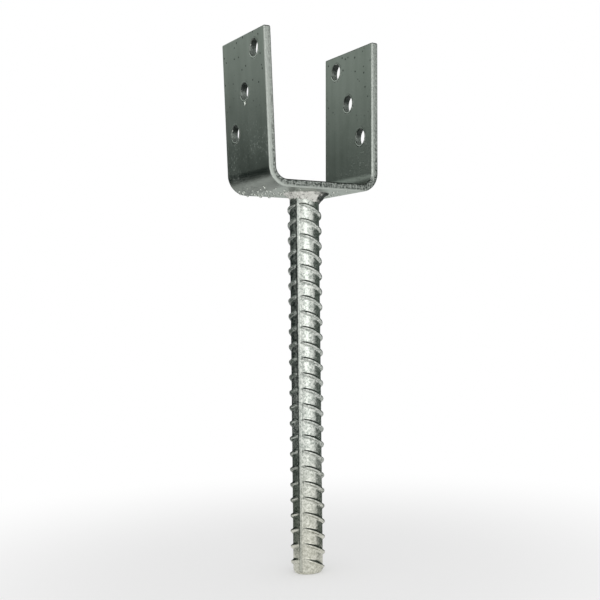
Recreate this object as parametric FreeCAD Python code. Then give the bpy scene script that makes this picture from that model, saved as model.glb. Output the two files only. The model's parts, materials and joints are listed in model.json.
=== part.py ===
"""Post base for a timber post, to be cast into concrete.

A flat steel strip is folded into a U. The post stands on the web of the U and is screwed or bolted
through the two legs, which have sprung open a little at the folds. A ribbed reinforcing bar stands
square under the middle of the web, with a fillet weld all round, and sets in the concrete. The
whole is hot-dip galvanised after welding.

The origin is the middle of the seat, on the upper face of the web. +Z is up, X runs from leg to
leg and Y runs along the width of the strip. Lengths are in millimetres and angles in degrees.
"""
import FreeCAD
import Part
import math
import os

# The U, folded from flat strip
post_gap = 71.0              # clear width between the legs, just above the folds
strip_width = 60.0
strip_thickness = 5.0
leg_height = 100.0           # from the underside of the web to the tips of the legs
left_leg_lean = 2.1          # outwards, from square to the web
right_leg_lean = 0.7
fold_inner_radius = 8.0
strip_edge_bevel = 0.7       # the softened edges of the strip

# The holes, three in a slanting row down each leg
hole_diameter = 11.0
hole_rim_bevel = 0.8         # the punched rim, softened by the zinc
hole_rows = 3
hole_tip_margin = 11.2       # from the tip of a leg to the centre of its first hole
hole_pitch_down = 25.0
hole_pitch_across = 15.5

# The ribbed bar
bar_core_diameter = 19.4
bar_length = 250.0
bar_offset = 1.1             # from the middle of the web towards the right leg, as it was welded
bar_turn = -58.0             # about Z; at 0 the two seam ribs face along Y
bar_end_slope = 55.0         # of the bevel round the sheared end
bar_end_rise = 1.8           # how far up the side the bevel reaches
seam_rib_height = 0.7
seam_rib_crest = 1.1         # width of its flat top
seam_rib_flank = 45.0        # slope of its sides
cross_rib_height = 1.6       # at the middle of its crescent
cross_rib_crest = 1.0        # width of its top, along the bar
cross_rib_root = 1.0         # how deep it is rooted in the core
cross_rib_flank = 60.0       # slope of its sides
cross_rib_slant = 29.0       # from square to the bar, high at the first seam rib
cross_rib_span = 85.0        # how far it reaches each way round the bar
cross_rib_overrun = 1.03     # share of the span at which its ends dip under the surface
cross_rib_facets = 8         # flats along its crescent
cross_rib_pitch = 10.1
cross_rib_first = 13.0       # from the underside of the web down to the middle of the first rib
cross_rib_row_shift = 0.5    # the second row sits this much lower
cross_rib_end_margin = 2.5   # least length of bar below the middle of the last rib

# The fillet weld between the bar and the web
weld_leg_out = 5.5           # along the web
weld_leg_down = 6.5          # along the bar
weld_hollow = 0.5            # depth of its hollow face
weld_drift = 1.2             # its ring lies this far off the bar, towards the right leg
weld_bands = 4               # flats down its hollow face

Z_AXIS = FreeCAD.Vector(0, 0, 1)
ORIGIN = FreeCAD.Vector(0, 0, 0)
LEFT = -1
RIGHT = 1
near = 0.001                 # lengths and places this close are the same

fold_outer_radius = fold_inner_radius + strip_thickness
leg_leans = {LEFT: math.radians(left_leg_lean), RIGHT: math.radians(right_leg_lean)}
web_underside = -strip_thickness
leg_tip = web_underside + leg_height
core_radius = bar_core_diameter / 2
bar_foot = web_underside - bar_length


class Leg:
    """One leg of the U: where it stands and which way its faces point."""

    def __init__(self, side):
        lean = leg_leans[side]
        self.side = side
        self.lean = lean
        self.up = FreeCAD.Vector(side * math.sin(lean), 0, math.cos(lean))
        self.outward = FreeCAD.Vector(side * math.cos(lean), 0, -math.sin(lean))
        fold_x = post_gap / 2 - fold_inner_radius * math.cos(lean)
        self.fold_centre = FreeCAD.Vector(side * fold_x, 0, fold_inner_radius)

    def fold_arc(self, radius):
        """The fold at a radius, from the web to the root of the leg."""
        quarter = math.pi / 2
        points = []
        for share in (0, 0.5, 1):
            angle = share * (quarter - self.lean)
            step = FreeCAD.Vector(self.side * math.sin(angle), 0, -math.cos(angle))
            points.append(self.fold_centre + step * radius)
        return points

    def tip_above(self, root):
        """The point level with the tip of the leg, straight up the leg from a point at its root."""
        return root + self.up * ((leg_tip - root.z) / self.up.z)

    def outline(self):
        """The leg and its fold, as the curves of the section that are not on the web."""
        inner = self.fold_arc(fold_inner_radius)
        outer = self.fold_arc(fold_outer_radius)
        inner_tip = self.tip_above(inner[2])
        outer_tip = inner_tip + self.outward * strip_thickness
        return [
            Part.Arc(*inner),
            Part.LineSegment(inner[2], inner_tip),
            Part.LineSegment(inner_tip, outer_tip),
            Part.LineSegment(outer_tip, outer[2]),
            Part.Arc(*outer),
        ]

    def hole_centres(self):
        """The holes' centres on the inner face of the leg.

        The first hole is near the front of the left leg and near the back of the right one, so that
        screws from the two sides pass each other in the post.
        """
        root = self.fold_arc(fold_inner_radius)[2]
        tip = self.tip_above(root)
        centres = []
        for row in range(hole_rows):
            down = hole_tip_margin + row * hole_pitch_down
            across = (row - (hole_rows - 1) / 2) * hole_pitch_across
            centres.append(tip - self.up * down + FreeCAD.Vector(0, -self.side * across, 0))
        return centres


def folded_strip(legs):
    """The U as one bent strip, with its long edges and tips bevelled."""
    left, right = legs
    web = [
        Part.LineSegment(left.fold_arc(fold_inner_radius)[0], right.fold_arc(fold_inner_radius)[0]),
        Part.LineSegment(left.fold_arc(fold_outer_radius)[0], right.fold_arc(fold_outer_radius)[0]),
    ]
    curves = left.outline() + right.outline() + web
    outline = Part.Wire(Part.sortEdges([curve.toShape() for curve in curves])[0])
    section = Part.Face(outline)
    section.translate(FreeCAD.Vector(0, -strip_width / 2, 0))
    strip = section.extrude(FreeCAD.Vector(0, strip_width, 0))
    sharp = []
    for edge in strip.Edges:
        on_side = abs(abs(edge.CenterOfMass.y) - strip_width / 2) < near
        on_tip = edge.BoundBox.ZMin > leg_tip - strip_thickness
        if on_side or on_tip:
            sharp.append(edge)
    return strip.makeChamfer(strip_edge_bevel, sharp)


def u_bracket():
    """The folded strip with its holes, both rims of each hole bevelled."""
    legs = [Leg(LEFT), Leg(RIGHT)]
    bracket = folded_strip(legs)
    hole_radius = hole_diameter / 2
    for leg in legs:
        for centre in leg.hole_centres():
            start = centre - leg.outward * strip_thickness
            drill = Part.makeCylinder(hole_radius, 3 * strip_thickness, start, leg.outward)
            bracket = bracket.cut(drill)
    rim_length = 2 * math.pi * hole_radius
    rims = [edge for edge in bracket.Edges if edge.isClosed() and abs(edge.Length - rim_length) < near]
    return bracket.makeChamfer(hole_rim_bevel, rims)


def rib_section(height, crest, flank, sunk):
    """Half of a rib's section as (out, across) points, from inside the core to the crest."""
    spread = (height + sunk) / math.tan(math.radians(flank))
    return [(core_radius - sunk, crest / 2 + spread), (core_radius + height, crest / 2)]


def closed_wire(points):
    return Part.makePolygon(points + points[:1])


def seam_rib(side):
    """One of the two straight ribs along the bar, on the side towards -Y (-1) or +Y (1)."""
    half = rib_section(seam_rib_height, seam_rib_crest, seam_rib_flank, seam_rib_height)
    points = [FreeCAD.Vector(across, side * out, bar_foot) for out, across in half]
    points += [FreeCAD.Vector(-across, side * out, bar_foot) for out, across in reversed(half)]
    return Part.Face(closed_wire(points)).extrude(Z_AXIS * bar_length)


def cross_rib(side, middle):
    """One slanting rib, round the bar on the side towards -X (-1) or +X (1).

    It lies in a plane that is high at the first seam rib and low at the second, and its height
    swells and dies away like a crescent. It ends just under the surface of the core.
    """
    slope = core_radius * math.tan(math.radians(cross_rib_slant))
    sections = []
    for step in range(cross_rib_facets + 1):
        share = cross_rib_overrun * (2 * step / cross_rib_facets - 1)
        turn = math.radians(share * cross_rib_span)
        swell = 1 - abs(share) ** 3
        crest = cross_rib_crest * (1 + swell) / 2
        half = rib_section(cross_rib_height * swell, crest, cross_rib_flank, cross_rib_root)
        points = []
        for out, across in half + [(out, -across) for out, across in reversed(half)]:
            x = side * out * math.cos(turn)
            y = out * math.sin(turn)
            z = middle - slope * math.sin(turn) + across
            points.append(FreeCAD.Vector(x, y, z))
        sections.append(closed_wire(points))
    return Part.makeLoft(sections, True, True)


def cross_rib_middles(first):
    """Heights of a row of cross ribs, from a first one down to the end of the bar."""
    length = first - bar_foot - cross_rib_end_margin
    count = 1 + int(length // cross_rib_pitch)
    return [first - number * cross_rib_pitch for number in range(count)]


def bar_blank():
    """All that the sheared end leaves of a thick round bar, bevelled at its foot."""
    slope = math.tan(math.radians(bar_end_slope))
    thick = core_radius + 2 * cross_rib_height
    foot_radius = core_radius - bar_end_rise / slope
    profile = [
        FreeCAD.Vector(0, 0, bar_foot),
        FreeCAD.Vector(foot_radius, 0, bar_foot),
        FreeCAD.Vector(thick, 0, bar_foot + (thick - foot_radius) * slope),
        FreeCAD.Vector(thick, 0, web_underside),
        FreeCAD.Vector(0, 0, web_underside),
    ]
    return Part.Face(closed_wire(profile)).revolve(ORIGIN, Z_AXIS, 360)


def anchor_bar():
    """The ribbed bar, from the underside of the web to its sheared end."""
    core = Part.makeCylinder(core_radius, bar_length, FreeCAD.Vector(0, 0, bar_foot), Z_AXIS)
    ribs = [seam_rib(-1), seam_rib(1)]
    first = web_underside - cross_rib_first
    ribs += [cross_rib(1, middle) for middle in cross_rib_middles(first)]
    ribs += [cross_rib(-1, middle) for middle in cross_rib_middles(first - cross_rib_row_shift)]
    bar = core.fuse(ribs).common(bar_blank())
    bar = bar.removeSplitter()
    bar.rotate(ORIGIN, Z_AXIS, bar_turn)
    bar.translate(FreeCAD.Vector(bar_offset, 0, 0))
    return bar


def weld_bead(bar):
    """The fillet weld round the bar, seated on the web and on the bar.

    Its ring is a little off the axis of the bar, so the bead is heavier on one side. It is drawn
    a little way into the bar, further than the drift, and then cut by the bar.
    """
    inside = core_radius - 1.5 * weld_drift
    outer = FreeCAD.Vector(core_radius + weld_leg_out, 0, web_underside)
    lower = FreeCAD.Vector(inside, 0, web_underside - weld_leg_down - weld_drift)
    corner = FreeCAD.Vector(inside, 0, web_underside)
    middle = (outer + lower) * 0.5
    hollow = middle + (corner - middle).normalize() * weld_hollow
    face = Part.Arc(outer, hollow, lower).toShape().discretize(weld_bands + 1)
    on_axis = [FreeCAD.Vector(0, 0, lower.z), FreeCAD.Vector(0, 0, web_underside)]
    bead = Part.Face(closed_wire(face + on_axis)).revolve(ORIGIN, Z_AXIS, 360)
    bead.translate(FreeCAD.Vector(bar_offset + weld_drift, 0, 0))
    return bead.cut(bar)


def write(shape, node):
    solid = shape.Solids[0]
    print(node, "solids", len(shape.Solids), "valid", shape.isValid(), "volume", round(solid.Volume, 1))
    solid.exportStep(os.path.join("parts", node + ".step"))


os.makedirs("parts", exist_ok=True)
bar_shape = anchor_bar()
write(u_bracket(), "u_bracket")
write(bar_shape, "anchor_bar")
write(weld_bead(bar_shape), "weld_bead")
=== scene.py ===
"""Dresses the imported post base: a galvanised steel U on a ribbed anchor bar.

The strip is a softened copy of its CAD node, and the bar and the weld bead are rebuilt to the same
sizes with finer detail. Each stands in for its node. Lengths are in metres, as everywhere in Blender.
"""

import json
import math
import random

import bmesh
import bpy
from bpy.props import FloatProperty, FloatVectorProperty, IntProperty, PointerProperty
from mathutils import Matrix, Vector, noise


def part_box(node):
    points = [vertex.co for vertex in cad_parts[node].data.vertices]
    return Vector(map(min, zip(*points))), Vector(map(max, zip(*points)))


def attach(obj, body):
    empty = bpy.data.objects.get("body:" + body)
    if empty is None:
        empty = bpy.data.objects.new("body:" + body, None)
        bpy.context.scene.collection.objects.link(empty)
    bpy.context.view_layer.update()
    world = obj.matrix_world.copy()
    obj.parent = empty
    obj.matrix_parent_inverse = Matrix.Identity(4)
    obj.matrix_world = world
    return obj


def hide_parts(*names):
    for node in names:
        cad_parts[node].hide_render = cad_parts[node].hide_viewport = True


bl_info = {
    "name": "Cast-in post base",
    "version": (1, 0, 0),
    "blender": (4, 5, 0),
    "location": "3D View > Sidebar > Post base",
    "description": "Makes the galvanised finish of a post base that is cast into concrete",
    "category": "Object",
}

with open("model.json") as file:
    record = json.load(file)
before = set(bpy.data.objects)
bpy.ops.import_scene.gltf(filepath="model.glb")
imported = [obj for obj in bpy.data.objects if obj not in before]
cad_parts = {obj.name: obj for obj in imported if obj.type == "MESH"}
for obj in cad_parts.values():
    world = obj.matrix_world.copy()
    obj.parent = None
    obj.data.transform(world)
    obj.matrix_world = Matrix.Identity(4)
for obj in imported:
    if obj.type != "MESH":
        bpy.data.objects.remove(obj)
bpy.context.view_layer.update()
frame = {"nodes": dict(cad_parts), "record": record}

MM = 0.001
web_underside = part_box("anchor_bar")[1].z
bar_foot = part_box("anchor_bar")[0].z
strip_thickness = -web_underside
strip_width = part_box("u_bracket")[1].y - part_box("u_bracket")[0].y
holes = [mount for mount in frame["record"]["mounts"] if mount["name"].endswith("_hole")]
LEFT = -1
RIGHT = 1
ROLLED, SHEARED, PAINTED_HIGHLIGHT, BORE = range(4)  # the strip's materials, in the order of its slots
UPRIGHT = (0, 0, 1)
WHITE = (1, 1, 1)


def linear(hex_colour):
    """An sRGB hex colour as the linear red, green and blue that Blender works in."""
    channels = [int(hex_colour[start : start + 2], 16) / 255 for start in (1, 3, 5)]
    return tuple(c / 12.92 if c <= 0.04045 else ((c + 0.055) / 1.055) ** 2.4 for c in channels)


# ---------------------------------------------------------------- sizes and colours


class StripSizes(bpy.types.PropertyGroup):
    gap: FloatProperty(
        name="Gap", description="Clear width between the legs", default=71 * MM, subtype="DISTANCE"
    )
    fold_radius: FloatProperty(
        name="Fold radius", description="Inner radius of the folds", default=8 * MM, subtype="DISTANCE"
    )
    left_lean: FloatProperty(
        name="Left lean",
        description="How far the left leg has sprung open",
        default=math.radians(2.1),
        subtype="ANGLE",
    )
    right_lean: FloatProperty(
        name="Right lean",
        description="How far the right leg has sprung open",
        default=math.radians(0.7),
        subtype="ANGLE",
    )
    edge_softness: FloatProperty(
        name="Edge softness",
        description="Rounding that the zinc gives to each arris",
        default=0.25 * MM,
        subtype="DISTANCE",
    )
    pimples: IntProperty(
        name="Pimples", description="Zinc pimples left under the strip", default=72, min=0, max=400
    )


class BarSizes(bpy.types.PropertyGroup):
    core_radius: FloatProperty(
        name="Core radius", description="Between the ribs", default=9.7 * MM, subtype="DISTANCE"
    )
    offset: FloatProperty(
        name="Offset", description="From the middle of the web", default=1.1 * MM, subtype="DISTANCE"
    )
    turn: FloatProperty(
        name="Turn", description="Of the bar about its own axis", default=math.radians(-58), subtype="ANGLE"
    )
    rib_height: FloatProperty(
        name="Rib height", description="At the middle of a slanting rib", default=1.6 * MM, subtype="DISTANCE"
    )
    rib_crest: FloatProperty(
        name="Rib crest", description="Width of its top", default=1.0 * MM, subtype="DISTANCE"
    )
    rib_pitch: FloatProperty(
        name="Rib pitch", description="From rib to rib along the bar", default=10.1 * MM, subtype="DISTANCE"
    )
    rib_first: FloatProperty(
        name="First rib", description="Below the web", default=13.0 * MM, subtype="DISTANCE"
    )
    rib_slant: FloatProperty(
        name="Rib slant", description="From square to the bar", default=math.radians(29), subtype="ANGLE"
    )
    seam_height: FloatProperty(
        name="Seam rib height", description="Of the two straight ribs", default=0.7 * MM, subtype="DISTANCE"
    )
    seam_crest: FloatProperty(
        name="Seam rib crest", description="Width of its top", default=1.1 * MM, subtype="DISTANCE"
    )


class WeldSizes(bpy.types.PropertyGroup):
    leg_out: FloatProperty(
        name="Leg along the web", description="From the bar", default=5.5 * MM, subtype="DISTANCE"
    )
    leg_down: FloatProperty(
        name="Leg along the bar", description="From the web", default=6.5 * MM, subtype="DISTANCE"
    )
    drift: FloatProperty(
        name="Drift", description="Of the bead towards the right leg", default=1.2 * MM, subtype="DISTANCE"
    )
    lumps: FloatProperty(
        name="Lumps", description="Height of the lumps in the bead", default=0.65 * MM, subtype="DISTANCE"
    )


class ZincColours(bpy.types.PropertyGroup):
    strip_pale: FloatVectorProperty(
        name="Strip, pale", description="Zinc on the flat faces", subtype="COLOR", default=linear("#aeb4ad")
    )
    strip_dull: FloatVectorProperty(
        name="Strip, dull",
        description="Duller zinc on the flat faces",
        subtype="COLOR",
        default=linear("#90978f"),
    )
    edge_pale: FloatVectorProperty(
        name="Edge, pale", description="Zinc on the sheared edges", subtype="COLOR", default=linear("#c2c8c1")
    )
    # Dark zinc of the torn edges and pits, and also the colour of the painted shade on the bar's ribs, in the
    # weld's hollows and on the hole walls
    dark_zinc_and_painted_shade: FloatVectorProperty(
        name="Edge, dark",
        description="Rough patches on the sheared edges",
        subtype="COLOR",
        default=linear("#3c423e"),
    )
    bar_pale: FloatVectorProperty(
        name="Bar, pale", description="Bright zinc on the bar", subtype="COLOR", default=linear("#ecefe8")
    )
    bar_dull: FloatVectorProperty(
        name="Bar, dull", description="Dull zinc on the bar", subtype="COLOR", default=linear("#99a19a")
    )
    bar_warm: FloatVectorProperty(
        name="Bar, warm",
        description="Warmer zinc towards the foot",
        subtype="COLOR",
        default=linear("#dcd5bf"),
    )
    weld_pale: FloatVectorProperty(
        name="Weld, pale", description="Thick zinc on the weld", subtype="COLOR", default=linear("#faf9f2")
    )


class StudioSettings(bpy.types.PropertyGroup):
    lens: FloatProperty(
        name="Lens", description="Focal length", default=59.376 * MM, unit="CAMERA", subtype="DISTANCE_CAMERA"
    )
    key_level: FloatProperty(
        name="Key level", description="Radiance of the big soft lamp", default=1.05, min=0
    )
    floor_colour: FloatVectorProperty(
        name="Floor", description="Pale studio floor", subtype="COLOR", default=linear("#fafafa")
    )


# ---------------------------------------------------------------- materials


def add_node(tree, kind, inputs=None, **settings):
    """Add a node with its settings; an input is given a value or opaque colour, or linked to an output."""
    node = tree.nodes.new(kind)
    for name, value in settings.items():
        setattr(node, name, value)
    for key, value in (inputs or {}).items():
        socket = node.inputs[key]
        if isinstance(value, bpy.types.NodeSocket):
            tree.links.new(value, socket)
        else:
            socket.default_value = (*value, 1) if socket.type == "RGBA" else value
    return node


def empty_material(name):
    """A new material with nothing in it but its output."""
    material = bpy.data.materials.new(name)
    material.use_nodes = True
    material.node_tree.nodes.clear()
    add_node(material.node_tree, "ShaderNodeOutputMaterial")
    return material


def show_surface(tree, shader):
    """Link a finished shader to the material's output."""
    tree.links.new(shader, tree.nodes["Material Output"].inputs["Surface"])


def galvanised_strip_material(colours):
    """Hot-dip galvanised flat bar: smooth satin zinc, drawn into faint streaks as it drained.

    Clouds some 26 mm across and streaks 5 mm wide, a few dark pits near the tips and pale specks
    near the folds.
    """
    material = empty_material("galvanised_flat_strip")
    tree = material.node_tree
    place = add_node(tree, "ShaderNodeTexCoord").outputs["Object"]
    height = add_node(tree, "ShaderNodeSeparateXYZ", {"Vector": place}).outputs["Z"]

    clouds = add_node(
        tree, "ShaderNodeTexNoise", {"Vector": place, "Scale": 1 / (26 * MM), "Detail": 3.0, "Roughness": 0.6}
    )
    drawn_down = add_node(tree, "ShaderNodeMapping", {"Vector": place, "Scale": (1, 1, 0.05)})
    streaks = add_node(
        tree,
        "ShaderNodeTexNoise",
        {"Vector": drawn_down.outputs["Vector"], "Scale": 1 / (5 * MM), "Detail": 1.0, "Roughness": 0.5},
    )
    shade = add_node(
        tree,
        "ShaderNodeMath",
        {0: streaks.outputs["Fac"], 1: 0.45, 2: clouds.outputs["Fac"]},
        operation="MULTIPLY_ADD",
    )
    shade = add_node(
        tree, "ShaderNodeMapRange", {"Value": shade.outputs[0], "From Min": 0.45, "From Max": 1.0}
    ).outputs["Result"]
    zinc = add_node(
        tree, "ShaderNodeMix", {0: shade, 6: colours.strip_dull, 7: colours.strip_pale}, data_type="RGBA"
    ).outputs[2]

    # Dark pits under 1 mm wide, some 10 mm apart, and only on the upper half of the legs
    pit_cells = add_node(tree, "ShaderNodeTexVoronoi", {"Vector": place, "Scale": 1 / (4.6 * MM)})
    pit = add_node(
        tree,
        "ShaderNodeMapRange",
        {"Value": pit_cells.outputs["Distance"], "From Min": 0.17, "From Max": 0.10},
    ).outputs["Result"]
    some = add_node(
        tree, "ShaderNodeMath", {0: pit_cells.outputs["Color"], 1: 0.3}, operation="GREATER_THAN"
    ).outputs[0]
    high = add_node(
        tree, "ShaderNodeMapRange", {"Value": height, "From Min": 40 * MM, "From Max": 62 * MM}
    ).outputs["Result"]
    pit = add_node(tree, "ShaderNodeMath", {0: pit, 1: some}, operation="MULTIPLY").outputs[0]
    pit = add_node(tree, "ShaderNodeMath", {0: pit, 1: high}, operation="MULTIPLY").outputs[0]
    zinc = add_node(
        tree, "ShaderNodeMix", {0: pit, 6: zinc, 7: colours.dark_zinc_and_painted_shade}, data_type="RGBA"
    ).outputs[2]

    # Ragged pale flecks 1 to 2 mm wide on the lower half, in loose groups
    flecks = add_node(
        tree,
        "ShaderNodeTexNoise",
        {"Vector": place, "Scale": 1 / (2.4 * MM), "Detail": 4.0, "Roughness": 0.65},
    ).outputs["Fac"]
    speck = add_node(
        tree, "ShaderNodeMapRange", {"Value": flecks, "From Min": 0.57, "From Max": 0.64}
    ).outputs["Result"]
    few = add_node(
        tree, "ShaderNodeMapRange", {"Value": clouds.outputs["Fac"], "From Min": 0.40, "From Max": 0.56}
    ).outputs["Result"]
    low = add_node(
        tree, "ShaderNodeMapRange", {"Value": height, "From Min": 45 * MM, "From Max": 25 * MM}
    ).outputs["Result"]
    speck = add_node(tree, "ShaderNodeMath", {0: speck, 1: few}, operation="MULTIPLY").outputs[0]
    speck = add_node(tree, "ShaderNodeMath", {0: speck, 1: low}, operation="MULTIPLY").outputs[0]
    zinc = add_node(
        tree, "ShaderNodeMix", {0: speck, 6: zinc, 7: colours.edge_pale}, data_type="RGBA"
    ).outputs[2]

    roughness = add_node(
        tree,
        "ShaderNodeMapRange",
        {"Value": clouds.outputs["Fac"], "From Min": 0.3, "From Max": 0.7, "To Min": 0.30, "To Max": 0.42},
    ).outputs["Result"]
    grain = add_node(
        tree, "ShaderNodeTexNoise", {"Vector": place, "Scale": 1 / (1.3 * MM), "Detail": 2.0}
    ).outputs["Fac"]
    relief = add_node(tree, "ShaderNodeMath", {0: speck, 1: pit}, operation="SUBTRACT").outputs[0]
    relief = add_node(
        tree, "ShaderNodeMath", {0: relief, 1: 2.5, 2: grain}, operation="MULTIPLY_ADD"
    ).outputs[0]
    normal = add_node(
        tree, "ShaderNodeBump", {"Height": relief, "Distance": 0.04 * MM, "Strength": 1.0}
    ).outputs["Normal"]
    shader = add_node(
        tree,
        "ShaderNodeBsdfPrincipled",
        {"Base Color": zinc, "Metallic": 1.0, "Roughness": roughness, "Normal": normal},
    )
    show_surface(tree, shader.outputs["BSDF"])
    return material


def galvanised_edge_material(colours):
    """The same zinc over a sheared edge: pale and smooth where the blade cut, dark and grainy where
    the steel tore.
    """
    material = empty_material("galvanised_sheared_edge")
    tree = material.node_tree
    place = add_node(tree, "ShaderNodeTexCoord").outputs["Object"]
    height = add_node(tree, "ShaderNodeSeparateXYZ", {"Vector": place}).outputs["Z"]
    tear = add_node(tree, "ShaderNodeAttribute", attribute_name="tear").outputs["Fac"]

    grit = add_node(
        tree,
        "ShaderNodeTexNoise",
        {"Vector": place, "Scale": 1 / (1.5 * MM), "Detail": 3.0, "Roughness": 0.7},
    ).outputs["Fac"]
    torn = add_node(
        tree, "ShaderNodeMapRange", {"Value": tear, "From Min": -0.08, "From Max": 0.1}
    ).outputs["Result"]
    low = add_node(
        tree,
        "ShaderNodeMapRange",
        {"Value": height, "From Min": 60 * MM, "From Max": 8 * MM, "To Min": 0.35, "To Max": 1.0},
    ).outputs["Result"]
    dark = add_node(
        tree,
        "ShaderNodeMapRange",
        {"Value": grit, "From Min": 0.40, "From Max": 0.60, "To Min": 1.0, "To Max": 0.1},
    ).outputs["Result"]
    dark = add_node(tree, "ShaderNodeMath", {0: dark, 1: torn}, operation="MULTIPLY").outputs[0]
    dark = add_node(tree, "ShaderNodeMath", {0: dark, 1: low}, operation="MULTIPLY").outputs[0]
    zinc = add_node(
        tree, "ShaderNodeMix", {0: dark, 6: colours.edge_pale, 7: colours.dark_zinc_and_painted_shade}, data_type="RGBA"
    ).outputs[2]
    normal = add_node(
        tree, "ShaderNodeBump", {"Height": grit, "Distance": 0.3 * MM, "Strength": 1.0}
    ).outputs["Normal"]
    shader = add_node(
        tree,
        "ShaderNodeBsdfPrincipled",
        {"Base Color": zinc, "Metallic": 1.0, "Roughness": 0.42, "Normal": normal},
    )
    show_surface(tree, shader.outputs["BSDF"])
    return material


def galvanised_bar_material(colours):
    """Hot-dip galvanised rebar: thick bright zinc over hot-rolled ribs, mottled like hammered metal.

    Spots about 1.5 mm across, painted shade along the upper side of each rib and on the flanks beside the
    seam ribs, duller on the crests of the seam ribs, and a little warmer towards the foot.
    """
    material = empty_material("galvanised_ribbed_bar")
    tree = material.node_tree
    place = add_node(tree, "ShaderNodeTexCoord").outputs["Object"]
    height = add_node(tree, "ShaderNodeSeparateXYZ", {"Vector": place}).outputs["Z"]
    seam = add_node(tree, "ShaderNodeAttribute", attribute_name="seam").outputs["Fac"]

    spots = add_node(
        tree,
        "ShaderNodeTexNoise",
        {"Vector": place, "Scale": 1 / (1.5 * MM), "Detail": 3.0, "Roughness": 0.7},
    ).outputs["Fac"]
    shade = add_node(
        tree, "ShaderNodeMapRange", {"Value": spots, "From Min": 0.36, "From Max": 0.62}
    ).outputs["Result"]
    zinc = add_node(
        tree, "ShaderNodeMix", {0: shade, 6: colours.bar_dull, 7: colours.bar_pale}, data_type="RGBA"
    ).outputs[2]
    warm = add_node(
        tree,
        "ShaderNodeMapRange",
        {"Value": height, "From Min": -165 * MM, "From Max": -240 * MM, "To Max": 0.4},
    ).outputs["Result"]
    zinc = add_node(
        tree, "ShaderNodeMix", {0: warm, 6: zinc, 7: colours.bar_warm}, data_type="RGBA"
    ).outputs[2]
    # Painted shade: faces that look up, mostly the upper flanks of the ribs, are darkened
    facing = add_node(tree, "ShaderNodeNewGeometry").outputs["Normal"]
    upwards = add_node(tree, "ShaderNodeSeparateXYZ", {"Vector": facing}).outputs["Z"]
    upper_flank_painted_shade = add_node(
        tree, "ShaderNodeMapRange", {"Value": upwards, "From Min": 0.2, "From Max": 0.6, "To Max": 0.8}
    ).outputs["Result"]
    zinc = add_node(
        tree, "ShaderNodeMix", {0: upper_flank_painted_shade, 6: zinc, 7: colours.dark_zinc_and_painted_shade}, data_type="RGBA"
    ).outputs[2]
    # Duller colour on the crests of the seam ribs
    dull_seam_crest = add_node(
        tree, "ShaderNodeMapRange", {"Value": seam, "From Min": 0.6, "From Max": 1.0, "To Max": 0.35}
    ).outputs["Result"]
    zinc = add_node(
        tree, "ShaderNodeMix", {0: dull_seam_crest, 6: zinc, 7: colours.bar_dull}, data_type="RGBA"
    ).outputs[2]
    # Painted shade along both flanks of each seam rib, darkest halfway up them
    short = add_node(tree, "ShaderNodeMath", {0: 1.0, 1: seam}, operation="SUBTRACT").outputs[0]
    flank = add_node(tree, "ShaderNodeMath", {0: seam, 1: short}, operation="MULTIPLY").outputs[0]
    flank = add_node(
        tree, "ShaderNodeMapRange", {"Value": flank, "From Min": 0.04, "From Max": 0.2, "To Max": 0.4}
    ).outputs["Result"]
    zinc = add_node(
        tree, "ShaderNodeMix", {0: flank, 6: zinc, 7: colours.dark_zinc_and_painted_shade}, data_type="RGBA"
    ).outputs[2]

    roughness = add_node(
        tree,
        "ShaderNodeMapRange",
        {"Value": spots, "From Min": 0.35, "From Max": 0.65, "To Min": 0.25, "To Max": 0.38},
    ).outputs["Result"]
    normal = add_node(
        tree, "ShaderNodeBump", {"Height": spots, "Distance": 0.09 * MM, "Strength": 1.0}
    ).outputs["Normal"]
    shader = add_node(
        tree,
        "ShaderNodeBsdfPrincipled",
        {"Base Color": zinc, "Metallic": 1.0, "Roughness": roughness, "Normal": normal},
    )
    show_surface(tree, shader.outputs["BSDF"])
    return material


def galvanised_weld_material(colours):
    """Zinc over a hand-laid fillet weld: thick, pale and lumpy, with painted shade in the hollows between
    lumps
    1 to 3 mm across, a painted highlight on their tops, and more painted shade towards one end of the bead.
    """
    material = empty_material("galvanised_weld_bead")
    tree = material.node_tree
    place = add_node(tree, "ShaderNodeTexCoord").outputs["Object"]
    lumps = add_node(
        tree,
        "ShaderNodeTexNoise",
        {"Vector": place, "Scale": 1 / (2.4 * MM), "Detail": 4.0, "Roughness": 0.7},
    ).outputs["Fac"]
    along = add_node(tree, "ShaderNodeSeparateXYZ", {"Vector": place}).outputs["X"]
    # Painted shade that grows along x towards one end of the bead
    right_end_painted_shade = add_node(
        tree, "ShaderNodeMapRange", {"Value": along, "From Min": 3 * MM, "From Max": 12 * MM, "To Max": 0.4}
    ).outputs["Result"]
    # The colour follows the bump's height: painted shade in the hollows, painted highlight on the lumps
    shade = add_node(tree, "ShaderNodeMath", {0: lumps, 1: right_end_painted_shade}, operation="SUBTRACT").outputs[0]
    shade = add_node(
        tree, "ShaderNodeMapRange", {"Value": shade, "From Min": 0.30, "From Max": 0.48}
    ).outputs["Result"]
    zinc = add_node(
        tree, "ShaderNodeMix", {0: shade, 6: colours.dark_zinc_and_painted_shade, 7: colours.weld_pale}, data_type="RGBA"
    ).outputs[2]
    normal = add_node(
        tree, "ShaderNodeBump", {"Height": lumps, "Distance": 0.9 * MM, "Strength": 1.0}
    ).outputs["Normal"]
    shader = add_node(
        tree,
        "ShaderNodeBsdfPrincipled",
        {"Base Color": zinc, "Metallic": 0.25, "Roughness": 0.3, "Normal": normal},
    )
    show_surface(tree, shader.outputs["BSDF"])
    return material


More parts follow.
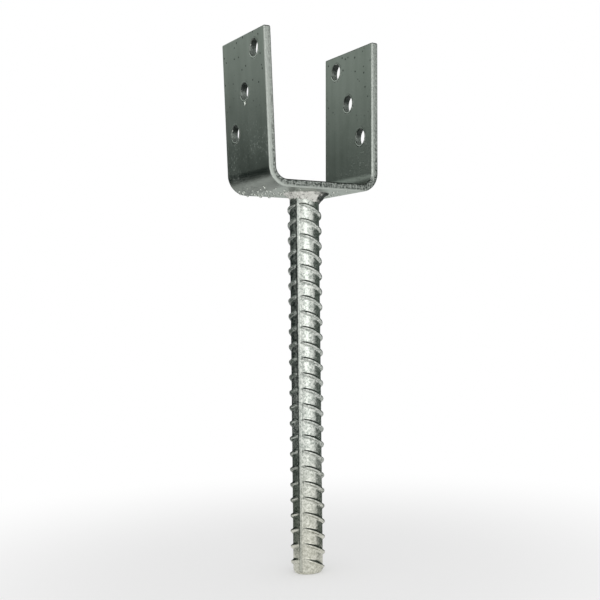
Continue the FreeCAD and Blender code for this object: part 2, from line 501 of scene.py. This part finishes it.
def hole_wall_material(colours):
    """Zinc in a punched hole, with painted shade: dark and grainy at the top of the wall, where it faces
    down, and smooth and pale at the bottom, where it faces up.
    """
    material = empty_material("galvanised_hole_wall")
    tree = material.node_tree
    place = add_node(tree, "ShaderNodeTexCoord").outputs["Object"]
    facing = add_node(tree, "ShaderNodeNewGeometry").outputs["Normal"]
    upwards = add_node(tree, "ShaderNodeSeparateXYZ", {"Vector": facing}).outputs["Z"]
    grit = add_node(
        tree,
        "ShaderNodeTexNoise",
        {"Vector": place, "Scale": 1 / (1.6 * MM), "Detail": 2.0, "Roughness": 0.6},
    ).outputs["Fac"]
    # Painted shade: darker where the wall faces down, paler where it faces up, broken by grain
    wall_painted_shade = add_node(
        tree, "ShaderNodeMath", {0: grit, 1: 1.4, 2: upwards}, operation="MULTIPLY_ADD"
    ).outputs[0]
    wall_painted_shade = add_node(
        tree, "ShaderNodeMapRange", {"Value": wall_painted_shade, "From Min": 0.3, "From Max": 0.95}
    ).outputs["Result"]
    zinc = add_node(
        tree, "ShaderNodeMix", {0: wall_painted_shade, 6: colours.dark_zinc_and_painted_shade, 7: colours.bar_dull}, data_type="RGBA"
    ).outputs[2]
    shader = add_node(
        tree, "ShaderNodeBsdfPrincipled", {"Base Color": zinc, "Metallic": 0.55, "Roughness": 0.45}
    )
    show_surface(tree, shader.outputs["BSDF"])
    return material


def pale_highlight_material(colours):
    """Pale, smooth and a little cloudy zinc for the pimples, the drip, the arrises and the lower hole rims;
    its paleness is a painted highlight.
    """
    material = empty_material("zinc_pimple_painted_highlight")
    tree = material.node_tree
    place = add_node(tree, "ShaderNodeTexCoord").outputs["Object"]
    clouds = add_node(tree, "ShaderNodeTexNoise", {"Vector": place, "Scale": 1 / (3 * MM), "Detail": 2.0})
    zinc = add_node(
        tree,
        "ShaderNodeMix",
        {0: clouds.outputs["Fac"], 6: colours.edge_pale, 7: colours.bar_pale},
        data_type="RGBA",
    ).outputs[2]
    shader = add_node(
        tree, "ShaderNodeBsdfPrincipled", {"Base Color": zinc, "Metallic": 1.0, "Roughness": 0.24}
    )
    show_surface(tree, shader.outputs["BSDF"])
    return material


# ---------------------------------------------------------------- the pieces

RIM_RISE = 0.155 * MM  # of the zinc round the holes; the lean of the left leg leaves no room for more
SEAM_SOFTNESS = 0.15 * MM  # by which zinc rounds the edges of the two straight ribs
RIB_HALF_SPAN = math.radians(85)  # round the bar, from the middle of a slanting rib to its end
RIB_FLANK = math.radians(60)
ROW_SHIFT = 0.5 * MM  # of one row of slanting ribs against the other
ROW_HEIGHT = 0.505 * MM  # between the rows of points along the bar
TEAR_ON_LEFT, TEAR_ON_RIGHT, TEAR_IN_WEB = 0.5, 0.45, 0.8  # where it ends, in strip thicknesses from inside


def add_outline(shape, places, closed=False):
    """Join places in a row, and return the new points and edges."""
    points = [shape.verts.new(place) for place in places]
    ends = points[1:] + points[:1] if closed else points[1:]
    return points, [shape.edges.new(pair) for pair in zip(points, ends)]


def spin_outline(shape, outline, centre, axis, steps, angle=2 * math.pi):
    """Spin points and edges round an axis, and close the shape where the turn is a full one."""
    bmesh.ops.spin(
        shape,
        geom=outline,
        cent=centre,
        axis=axis,
        dvec=(0, 0, 0),
        angle=angle,
        steps=steps,
        use_merge=angle == 2 * math.pi,
        use_duplicate=False,
    )


def make_object(name, shape, materials):
    """Turn a bmesh into an object of the scene."""
    mesh = bpy.data.meshes.new(name)
    shape.to_mesh(mesh)
    shape.free()
    for material in materials:
        mesh.materials.append(material)
    thing = bpy.data.objects.new(name, mesh)
    bpy.context.scene.collection.objects.link(thing)
    return thing


def place_piece(name, shape, materials, node):
    """Make the piece from its bmesh, smooth it and let it stand in for its CAD node."""
    piece = make_object(name, shape, materials)
    piece.data.shade_smooth()
    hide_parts(node)
    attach(piece, "root")
    return piece


def soft_step(share):
    """From 1 down to 0 as share goes from 0 to 1, level at both ends."""
    share = min(max(share, 0.0), 1.0)
    return 1 - share * share * (3 - 2 * share)


def leg_lean(sizes, side):
    """How far a leg has sprung open from square, as an angle."""
    return sizes.left_lean if side == LEFT else sizes.right_lean


def fold_centre(sizes, side):
    """How far the centre of a fold is from the middle of the web."""
    return sizes.gap / 2 - sizes.fold_radius * math.cos(leg_lean(sizes, side))


def tear_in_strip(sizes, point):
    """How torn the sheared edge is at a point, above 0 where it is dark and below 0 where it is smooth.

    The tear takes the inner half of the left leg, most of the web and the outer half of the right leg.
    """
    side = LEFT if point.x < 0 else RIGHT
    lean = leg_lean(sizes, side)
    centre = fold_centre(sizes, side)
    across = (abs(point.x) - centre) * math.cos(lean) - (point.z - sizes.fold_radius) * math.sin(lean)
    down = sizes.fold_radius - point.z
    reach = math.hypot(max(across, 0), max(down, 0)) if across > 0 and down > 0 else max(across, down)
    depth = (reach - sizes.fold_radius) / strip_thickness
    in_web = math.atan2(max(down, 0), max(across, 0)) / (math.pi / 2)
    on_leg = TEAR_ON_LEFT - depth if side == LEFT else depth - TEAR_ON_RIGHT
    return in_web * (TEAR_IN_WEB - depth) + (1 - in_web) * on_leg


def cut_across_folds(shape, sizes):
    """Cut the two sheared edges across at both folds, so that shading follows the folds."""
    steps = 8
    for side in (LEFT, RIGHT):
        middle = (side * fold_centre(sizes, side), 0, sizes.fold_radius)
        for step in range(steps + 1):
            turn = math.radians(90) * step / steps
            faces = [face for face in shape.faces if abs(face.normal.y) > 0.9 and on_strip_side(face)]
            edges = {edge for face in faces for edge in face.edges}
            points = {vertex for face in faces for vertex in face.verts}
            bmesh.ops.bisect_plane(
                shape,
                geom=[*faces, *edges, *points],
                dist=0.001 * MM,
                plane_co=middle,
                plane_no=(side * math.sin(turn), 0, math.cos(turn)),
            )


def on_strip_side(face):
    """Whether a face lies on the front or back edge of the strip."""
    return abs(face.calc_center_median().y) > strip_width / 2 - 1 * MM


def in_a_hole(point):
    """Whether a point lies in one of the six holes."""
    for hole in holes:
        away = Vector(hole["pos_m"]) - point
        if away.cross(Vector(hole["axis"]).normalized()).length < (hole["dims"]["r_mm"] + 0.3) * MM:
            return True
    return False


def on_outside(sizes, along, y):
    """The point and the outward direction on the outside of the U, at a distance along it.

    The distance runs from the middle of the web, round a fold and up a leg, and is negative on the
    left.
    """
    side = LEFT if along < 0 else RIGHT
    lean = leg_lean(sizes, side)
    radius = sizes.fold_radius + strip_thickness
    flat = fold_centre(sizes, side)
    past = abs(along) - flat
    turned = min(max(past, 0) / radius, math.pi / 2 - lean)
    beyond = max(past - (math.pi / 2 - lean) * radius, 0)
    out = Vector((side * math.sin(turned), 0, -math.cos(turned)))
    up = Vector((side * math.cos(turned), 0, math.sin(turned)))
    start = Vector((side * min(abs(along), flat), y, sizes.fold_radius))
    return start + out * radius + up * beyond, out


def add_bead(shape, point, out, width, rise, length):
    """Add a low rounded bead of zinc, longer down the face if length is more than width."""
    along = Vector((0, 1, 0)).cross(out)
    turn = Matrix((along, Vector((0, 1, 0)), out)).transposed().to_4x4()
    size = Matrix.Diagonal((length / 2, width / 2, rise, 1))
    bead = bmesh.ops.create_uvsphere(
        shape, u_segments=8, v_segments=6, radius=1, matrix=Matrix.Translation(point) @ turn @ size
    )
    # The bead takes the pale material, a painted highlight
    for face in {face for vertex in bead["verts"] for face in vertex.link_faces}:
        face.material_index = PAINTED_HIGHLIGHT


def add_hole_rim(shape, hole, rise):
    """A low ring of thicker zinc round a hole, on the face that hung lower as the zinc drained."""
    out = Vector(hole["axis"]).normalized()
    if out.x > 0:
        out = -out
    centre = Vector(hole["pos_m"]) + out * strip_thickness / 2
    radius = hole["dims"]["r_mm"] * MM
    away = Vector((0, 1, 0))
    # Its outline, as (mm past the edge of the hole, share of the rise)
    profile = ((0.1, -1.2), (0.1, 0.2), (0.3, 0.8), (0.65, 1.0), (1.1, 0.7), (1.5, -0.4), (0.8, -2.0))
    before = set(shape.faces)
    places = [centre + away * (radius + past * MM) + out * height * rise for past, height in profile]
    points, edges = add_outline(shape, places, closed=True)
    spin_outline(shape, points + edges, centre, out, 48)
    ring = [face for face in shape.faces if face not in before]
    bmesh.ops.recalc_face_normals(shape, faces=ring)
    # Painted highlight: the lower part of the ring gets the pale material, the rest the strip's
    painted_highlight_below = centre.z - 0.4 * radius
    for face in ring:
        face.material_index = PAINTED_HIGHLIGHT if face.calc_center_median().z < painted_highlight_below else ROLLED


def drip_under_hole(name):
    """The run of zinc that set under a hole, on the outside of its leg, as zinc_beads gives them."""
    hole = next(hole for hole in holes if hole["name"] == name)
    out = Vector(hole["axis"]).normalized()
    down = Vector((0, 1, 0)).cross(out)
    if down.z > 0:
        down = -down
    surface = Vector(hole["pos_m"]) + out * strip_thickness / 2
    reach = (hole["dims"]["r_mm"] + 2.0) * MM
    width, rise, length = 1.7 * MM, 0.7 * MM, 3.6 * MM
    return surface + down * reach, out, width, rise, length


def zinc_beads(sizes):
    """The pimples and drips of zinc on the outside of the strip, as (point, out, width, rise, length).

    One pimple in five is on the right, and the others are on the left and mostly near the back edge.
    """
    left_reach = (9, 36)  # mm along the outside, from the middle of the web
    right_reach = (14, 27)
    chance = random.Random(11)
    edge = strip_width / 2 - 1.2 * MM
    beads = []
    for number in range(sizes.pimples):
        on_right = number % 5 == 0
        along = chance.uniform(*right_reach) * MM if on_right else -chance.uniform(*left_reach) * MM
        back = chance.random() if on_right else chance.random() ** 0.45
        point, out = on_outside(sizes, along, -edge + 2 * edge * back)
        width = chance.uniform(1.0, 1.8) * MM
        rise = width * chance.uniform(0.35, 0.6)
        beads.append((point, out, width, rise, width * chance.uniform(0.9, 1.3)))
    beads.append(drip_under_hole("left_leg_middle_hole"))
    return beads


class POSTBASE_OT_folded_strip(bpy.types.Operator):
    """Soften the edges of the folded strip and bead its underside with zinc"""

    bl_idname = "post_base.folded_strip"
    bl_label = "Folded strip"

    def execute(self, context):
        sizes = context.scene.post_base_strip
        colours = context.scene.post_base_colours
        shape = bmesh.new()
        shape.from_mesh(frame["nodes"]["u_bracket"].data)
        bmesh.ops.remove_doubles(shape, verts=shape.verts, dist=0.001 * MM)
        bmesh.ops.dissolve_limit(
            shape,
            angle_limit=math.radians(0.3),
            verts=shape.verts,
            edges=shape.edges,
            use_dissolve_boundaries=False,
        )
        arrises = [edge for edge in shape.edges if edge.calc_face_angle(0) > math.radians(25)]
        bmesh.ops.bevel(
            shape,
            geom=arrises,
            offset=sizes.edge_softness,
            offset_type="OFFSET",
            segments=2,
            profile=0.5,
            affect="EDGES",
            clamp_overlap=True,
            material=-1,
        )
        cut_across_folds(shape, sizes)
        # Where a face lies and which way it looks tell sheared edge, hole wall and zinc on an arris; the
        # arrises on the edges and up the legs get the pale material as a painted highlight
        for face in shape.faces:
            slant = max(abs(face.normal.x), abs(face.normal.y), abs(face.normal.z))
            middle = face.calc_center_median()
            if on_strip_side(face) and abs(face.normal.y) > 0.3:
                face.material_index = SHEARED
            elif abs(face.normal.x) < 0.9 and in_a_hole(middle):
                face.material_index = BORE
            elif slant < 0.9 and (on_strip_side(face) or middle.z > sizes.fold_radius + 5 * MM):
                face.material_index = PAINTED_HIGHLIGHT

        for point, out, width, rise, length in zinc_beads(sizes):
            add_bead(shape, point, out, width, rise, length)
        for hole in holes:
            add_hole_rim(shape, hole, RIM_RISE)

        tear = shape.verts.layers.float.new("tear")
        for vertex in shape.verts:
            vertex[tear] = tear_in_strip(sizes, vertex.co)
        materials = [
            galvanised_strip_material(colours),
            galvanised_edge_material(colours),
            pale_highlight_material(colours),
            hole_wall_material(colours),
        ]
        piece = place_piece("folded_strip", shape, materials, "u_bracket")
        weighted = piece.modifiers.new("flat_faces_stay_flat", "WEIGHTED_NORMAL")
        weighted.mode = "FACE_AREA"
        weighted.weight = 100
        return {"FINISHED"}


def rib_rise(sizes, turn, height, last_height):
    """How far a seam rib and a slanting rib stand above the core, at a turn round the bar and a height."""
    core = sizes.core_radius
    across = core * abs(math.cos(turn))
    seam_run = sizes.seam_height + 2 * SEAM_SOFTNESS
    seam = sizes.seam_height * soft_step((across - sizes.seam_crest / 2 + SEAM_SOFTNESS) / seam_run)

    first = web_underside - sizes.rib_first - (0 if math.cos(turn) > 0 else ROW_SHIFT)
    share = math.asin(max(-1, min(1, math.sin(turn)))) / RIB_HALF_SPAN
    if abs(share) >= 1:
        return seam, 0.0
    swell = 1 - abs(share) ** 3
    level = height + core * math.tan(sizes.rib_slant) * math.sin(turn)
    count = int((first - last_height) // sizes.rib_pitch)
    nearest = min(max(round((first - level) / sizes.rib_pitch), 0), count)
    above = level - (first - nearest * sizes.rib_pitch)
    half_crest = sizes.rib_crest * (1 + swell) / 4
    run = sizes.rib_height * swell / math.tan(RIB_FLANK)
    # The zinc leaves the upper flank crisp, and fills the lower one to a long soft slope
    if above > 0:
        flank = (above - half_crest + 0.05 * MM) / (run + 0.2 * MM)
    else:
        flank = (-above - 0.3 * half_crest) / (run + 0.8 * MM)
    return seam, sizes.rib_height * swell * soft_step(flank)


def uneven_zinc(spot):
    """How far the thick zinc on the bar stands out at a spot: fine lumps over broad ones."""
    return 0.05 * MM * noise.noise(spot / (1.6 * MM)) + 0.07 * MM * noise.noise(spot / (6 * MM))


class POSTBASE_OT_ribbed_bar(bpy.types.Operator):
    """Spin the bar and raise its ribs"""

    bl_idname = "post_base.ribbed_bar"
    bl_label = "Ribbed bar"

    def execute(self, context):
        sizes = context.scene.post_base_bar
        core = sizes.core_radius
        foot_radius = core - 1.26 * MM
        foot_side = bar_foot + 1.8 * MM
        shape = bmesh.new()
        corners = [
            (0, bar_foot),
            (foot_radius, bar_foot),
            (core, foot_side),
            (core, web_underside),
            (0, web_underside),
        ]
        _, edges = add_outline(shape, [(radius, 0, height) for radius, height in corners])
        foot, chamfer, side, top = edges
        rows = round((web_underside - foot_side) / ROW_HEIGHT)
        for edge, cuts in ((foot, 9), (chamfer, 4), (top, 3), (side, rows)):
            bmesh.ops.subdivide_edges(shape, edges=[edge], cuts=cuts)
        spin_outline(shape, shape.verts[:] + shape.edges[:], (0, 0, 0), UPRIGHT, 112)
        bmesh.ops.remove_doubles(shape, verts=shape.verts, dist=0.002 * MM)
        bmesh.ops.recalc_face_normals(shape, faces=shape.faces)

        seam_layer = shape.verts.layers.float.new("seam")
        slope = core * math.tan(sizes.rib_slant)
        last_height = bar_foot + 2.5 * MM
        end_run = 16 * MM
        shear_slope = math.tan(math.radians(55))
        for vertex in shape.verts:
            radius = math.hypot(vertex.co.x, vertex.co.y)
            turn = math.atan2(vertex.co.y, vertex.co.x)
            turn += 0.22 * math.sin(2 * turn)  # closer rows of points at the two seam ribs
            height = vertex.co.z
            if radius > core - 0.01 * MM:
                # The rows lean with the ribs, and straighten towards both ends of the bar
                from_end = min(web_underside - height, height - bar_foot)
                lean = 1 - soft_step((from_end - 0.5 * MM) / end_run)
                height -= lean * slope * math.sin(turn)
                seam, rib = rib_rise(sizes, turn, height, last_height)
                vertex[seam_layer] = seam / sizes.seam_height
                reach = core + max(seam, rib)
                sheared = foot_radius + (height - bar_foot) / shear_slope
                reach = min(reach, sheared) if sheared < reach + 0.4 * MM else reach
            else:
                reach = radius
            lump = uneven_zinc(Vector((radius * math.cos(turn), radius * math.sin(turn), height)))
            if radius > 0.1 * MM:
                reach += lump
            vertex.co = (reach * math.cos(turn), reach * math.sin(turn), height)
            if height < bar_foot + 0.05 * MM:
                vertex.co.z = bar_foot + 0.25 * MM * (1 - soft_step(radius / foot_radius)) + abs(lump)

        bmesh.ops.rotate(shape, verts=shape.verts, cent=(0, 0, 0), matrix=Matrix.Rotation(sizes.turn, 3, "Z"))
        bmesh.ops.translate(shape, verts=shape.verts, vec=(sizes.offset, 0, 0))
        material = galvanised_bar_material(context.scene.post_base_colours)
        place_piece("ribbed_bar", shape, [material], "anchor_bar")
        return {"FINISHED"}


class POSTBASE_OT_weld_bead(bpy.types.Operator):
    """Spin the fillet weld under the web and work lumps into it"""

    bl_idname = "post_base.weld_bead"
    bl_label = "Weld bead"

    def execute(self, context):
        sizes = context.scene.post_base_weld
        bar = context.scene.post_base_bar
        core = bar.core_radius
        inside = core - 1.5 * sizes.drift
        in_the_web = web_underside + 0.3 * MM
        corners = [
            (core + sizes.leg_out, in_the_web),
            (core + sizes.leg_out, web_underside),
            (core + 2.2 * MM, web_underside - 2.6 * MM),
            (inside, web_underside - sizes.leg_down - sizes.drift),
            (inside, in_the_web),
        ]
        shape = bmesh.new()
        _, edges = add_outline(shape, [(radius, 0, height) for radius, height in corners], closed=True)
        bmesh.ops.subdivide_edges(shape, edges=edges[1:3], cuts=9)
        spin_outline(shape, shape.verts[:] + shape.edges[:], (0, 0, 0), UPRIGHT, 120)
        bmesh.ops.remove_doubles(shape, verts=shape.verts, dist=0.002 * MM)
        bmesh.ops.recalc_face_normals(shape, faces=shape.faces)
        for vertex in shape.verts:
            if vertex.co.z > web_underside + 0.1 * MM:
                continue
            # Lumps 1 to 3 mm across, and 26 ripples round the bead as it was laid
            turn = math.atan2(vertex.co.y, vertex.co.x)
            lump = noise.noise(vertex.co / (2.6 * MM)) + 0.5 * noise.noise(vertex.co / (1.3 * MM))
            lump += 0.35 * math.sin(26 * turn + 2 * noise.noise(vertex.co / (8 * MM)))
            outwards = Vector((vertex.co.x, vertex.co.y, 0)).normalized()
            vertex.co += (outwards * 0.8 - Vector((0, 0, 0.4))) * lump * sizes.lumps
            vertex.co.z = min(vertex.co.z, web_underside + 0.05 * MM)
        bmesh.ops.translate(shape, verts=shape.verts, vec=(bar.offset + sizes.drift, 0, 0))
        material = galvanised_weld_material(context.scene.post_base_colours)
        place_piece("fillet_weld", shape, [material], "weld_bead")
        return {"FINISHED"}


# ---------------------------------------------------------------- the stage

CARD_REACH = 0.62  # from the middle of the stage to the standing cards
CARD_TOP = 0.42
FLOOR_CARD_REACH = 0.33  # to the edge of the cards that lie on the floor


def seen_directly(tree):
    """1 where the camera, a mirror or clear glass looks, and 0 where light only spreads."""
    path = add_node(tree, "ShaderNodeLightPath").outputs
    camera_or_metal = add_node(
        tree, "ShaderNodeMath", {0: path["Is Camera Ray"], 1: path["Is Glossy Ray"]}, operation="MAXIMUM"
    ).outputs[0]
    return add_node(
        tree, "ShaderNodeMath", {0: camera_or_metal, 1: path["Is Transmission Ray"]}, operation="MAXIMUM"
    ).outputs[0]


def white_studio_world():
    """A white surround that the camera and the metal see, and that lights softly."""
    world = bpy.data.worlds.new("white_studio")
    world.use_nodes = True
    tree = world.node_tree
    tree.nodes.clear()
    level = add_node(
        tree, "ShaderNodeMapRange", {"Value": seen_directly(tree), "To Min": 0.75, "To Max": 1.0}
    )
    background = add_node(tree, "ShaderNodeBackground", {"Color": WHITE, "Strength": level.outputs["Result"]})
    output = add_node(tree, "ShaderNodeOutputWorld")
    tree.links.new(background.outputs["Background"], output.inputs["Surface"])
    return world


def studio_floor_material(colour):
    """Matt white paper, lit from above; it turns into the white surround away from the object."""
    material = empty_material("matt_white_paper")
    tree = material.node_tree
    place = add_node(tree, "ShaderNodeTexCoord").outputs["Object"]
    level = add_node(tree, "ShaderNodeVectorMath", {0: place, 1: (1, 1, 0)}, operation="MULTIPLY").outputs[0]
    away = add_node(tree, "ShaderNodeVectorMath", {0: level}, operation="LENGTH").outputs["Value"]
    far = add_node(
        tree,
        "ShaderNodeMapRange",
        {"Value": away, "From Min": 0.08, "From Max": 0.4, "To Min": 0.3},
        interpolation_type="SMOOTHSTEP",
    ).outputs["Result"]
    share = add_node(
        tree, "ShaderNodeMath", {0: far, 1: seen_directly(tree)}, operation="MULTIPLY"
    ).outputs[0]
    paper = add_node(tree, "ShaderNodeBsdfDiffuse", {"Color": colour})
    white = add_node(tree, "ShaderNodeEmission", {"Color": WHITE, "Strength": 1.0})
    both = add_node(
        tree, "ShaderNodeMixShader", {0: share, 1: paper.outputs["BSDF"], 2: white.outputs["Emission"]}
    )
    show_surface(tree, both.outputs["Shader"])
    return material


def grey_card_material(name, low_colour, high_colour, low_height, high_height):
    """Glowing graduated card, no lamp, that the metal mirrors, darker at its foot."""
    material = empty_material(name)
    tree = material.node_tree
    place = add_node(tree, "ShaderNodeTexCoord").outputs["Object"]
    height = add_node(tree, "ShaderNodeSeparateXYZ", {"Vector": place}).outputs["Z"]
    share = add_node(
        tree,
        "ShaderNodeMapRange",
        {"Value": height, "From Min": low_height, "From Max": high_height},
        interpolation_type="SMOOTHSTEP",
    ).outputs["Result"]
    shade = add_node(
        tree, "ShaderNodeMix", {0: share, 6: linear(low_colour), 7: linear(high_colour)}, data_type="RGBA"
    ).outputs[2]
    glow = add_node(tree, "ShaderNodeEmission", {"Color": shade, "Strength": 1.0})
    show_surface(tree, glow.outputs["Emission"])
    return material


def bent_card(name, profile, start, end, material):
    """A card bent round the object from one angle to another, in degrees, and seen only in the metal.

    Its profile is a list of (distance from the middle, height).
    """
    shape = bmesh.new()
    start = math.radians(start)
    direction = Vector((math.cos(start), math.sin(start), 0))
    places = [direction * reach + Vector((0, 0, height)) for reach, height in profile]
    points, edges = add_outline(shape, places)
    spin_outline(shape, points + edges, (0, 0, 0), UPRIGHT, 36, math.radians(end) - start)
    card = make_object(name, shape, [material])
    card.visible_camera = False
    card.visible_diffuse = False
    card.visible_shadow = False


def soft_lamp(name, place, aim, width, height, radiance):
    """A rectangular softbox of a given radiance, turned to its aim."""
    lamp = bpy.data.lights.new(name, "AREA")
    lamp.shape = "RECTANGLE"
    lamp.size = width
    lamp.size_y = height
    lamp.energy = radiance * math.pi * width * height
    holder = bpy.data.objects.new(name, lamp)
    holder.location = place
    holder.rotation_mode = "QUATERNION"
    holder.rotation_quaternion = (Vector(aim) - Vector(place)).to_track_quat("-Z", "Y")
    bpy.context.scene.collection.objects.link(holder)


def add_camera(lens):
    """A camera low in front of the left leg, looking up a little, so the web shows its underside."""
    yaw, pitch, roll = (math.radians(angle) for angle in (-34.70, -1.336, -0.719))
    aim = Vector((0, 0, -64.08 * MM))
    aside, distance = 57.23 * MM, 657.6 * MM
    back = Vector((math.sin(yaw) * math.cos(pitch), -math.cos(yaw) * math.cos(pitch), math.sin(pitch)))
    level_right = Vector((math.cos(yaw), math.sin(yaw), 0))
    level_up = back.cross(level_right)
    right = math.cos(roll) * level_right + math.sin(roll) * level_up
    up = -math.sin(roll) * level_right + math.cos(roll) * level_up
    data = bpy.data.cameras.new("camera")
    data.lens = lens / MM
    data.sensor_width = 36
    data.shift_x = -0.1497
    data.shift_y = -0.0311
    data.clip_start = 0.05
    data.clip_end = 50
    camera = bpy.data.objects.new("camera", data)
    turn = Matrix((right, up, back)).transposed()
    place = aim + level_right * aside + back * distance
    camera.matrix_world = Matrix.Translation(place) @ turn.to_4x4()
    bpy.context.scene.collection.objects.link(camera)
    bpy.context.scene.camera = camera


class POSTBASE_OT_studio(bpy.types.Operator):
    """Set up the pale floor, the grey cards, the soft lamp and the camera"""

    bl_idname = "post_base.studio"
    bl_label = "Studio"

    def execute(self, context):
        studio = context.scene.post_base_studio
        scene = context.scene
        scene.view_settings.view_transform = "Standard"
        scene.world = white_studio_world()

        shape = bmesh.new()
        bmesh.ops.create_circle(
            shape, cap_ends=True, segments=64, radius=6.0, matrix=Matrix.Translation((0, 0, bar_foot))
        )
        floor = make_object("studio_floor", shape, [studio_floor_material(studio.floor_colour)])

        # Grey cards stand round the part and over it, so that the zinc mirrors pale and dark bands
        low = bar_foot + 1 * MM
        wall = [(CARD_REACH, low), (CARD_REACH, CARD_TOP)]
        dusk = grey_card_material("graduated_grey_card", "#1a2422", "#c8d0cb", 0.02, 0.28)
        bent_card("back_card", wall, 66, 188, dusk)
        pale = grey_card_material("pale_grey_card", "#d2d8d3", "#d2d8d3", 0.0, 0.4)
        bent_card("pale_card", wall, 44, 66, pale)
        shade = grey_card_material("dark_grey_card", "#525a55", "#6a736f", 0.05, 0.35)
        bent_card("right_card", [(FLOOR_CARD_REACH, low), *wall], -51, 44, shade)
        # Low flags on the floor darken the round of the bar and leave its ribs bright
        for number, (reach, tall) in enumerate(((0.06, 0.02), (0.14, 0.03), (FLOOR_CARD_REACH, 0.05))):
            bent_card(f"right_flag_{number}", [(reach, low), (reach, low + tall)], -51, 44, shade)
        bent_card("left_flag", [(0.06, low), (0.06, low + 0.02)], 80, 188, shade)
        left_sill = [(0.11, low), (FLOOR_CARD_REACH, low), (FLOOR_CARD_REACH, low + 0.035)]
        bent_card("left_floor_card", left_sill, 80, 188, shade)
        above = grey_card_material("overhead_grey_card", "#2c3330", "#2c3330", 0.0, 0.4)
        bent_card("overhead_card", [(CARD_REACH, CARD_TOP), (0.0, CARD_TOP)], 0, 360, above)

        soft_lamp(
            "key_softbox",
            place=(-0.33, -0.92, 0.05),
            aim=(0, 0, -0.1),
            width=0.5,
            height=0.9,
            radiance=studio.key_level,
        )
        add_camera(studio.lens)
        return {"FINISHED"}


# ---------------------------------------------------------------- the add-on


class POSTBASE_PT_panel(bpy.types.Panel):
    """The sidebar panel of the post base"""

    bl_idname = "POSTBASE_PT_panel"
    bl_label = "Post base"
    bl_space_type = "VIEW_3D"
    bl_region_type = "UI"
    bl_category = "Post base"

    def draw(self, context):
        layout = self.layout
        for group in SETTINGS:
            settings = getattr(context.scene, group)
            box = layout.box()
            for name in settings.bl_rna.properties.keys():
                if name not in ("rna_type", "name"):
                    box.prop(settings, name)
        for operator in OPERATORS:
            layout.operator(operator.bl_idname)


SETTINGS = {
    "post_base_strip": StripSizes,
    "post_base_bar": BarSizes,
    "post_base_weld": WeldSizes,
    "post_base_colours": ZincColours,
    "post_base_studio": StudioSettings,
}
OPERATORS = (
    POSTBASE_OT_studio,
    POSTBASE_OT_folded_strip,
    POSTBASE_OT_ribbed_bar,
    POSTBASE_OT_weld_bead,
)


def register():
    for name, settings in SETTINGS.items():
        bpy.utils.register_class(settings)
        setattr(bpy.types.Scene, name, PointerProperty(type=settings))
    for operator in OPERATORS:
        bpy.utils.register_class(operator)
    bpy.utils.register_class(POSTBASE_PT_panel)


def unregister():
    bpy.utils.unregister_class(POSTBASE_PT_panel)
    for operator in reversed(OPERATORS):
        bpy.utils.unregister_class(operator)
    for name, settings in reversed(SETTINGS.items()):
        delattr(bpy.types.Scene, name)
        bpy.utils.unregister_class(settings)


def main():
    register()
    bpy.ops.post_base.studio()
    bpy.ops.post_base.folded_strip()
    bpy.ops.post_base.ribbed_bar()
    bpy.ops.post_base.weld_bead()


if __name__ == "__main__":
    main()
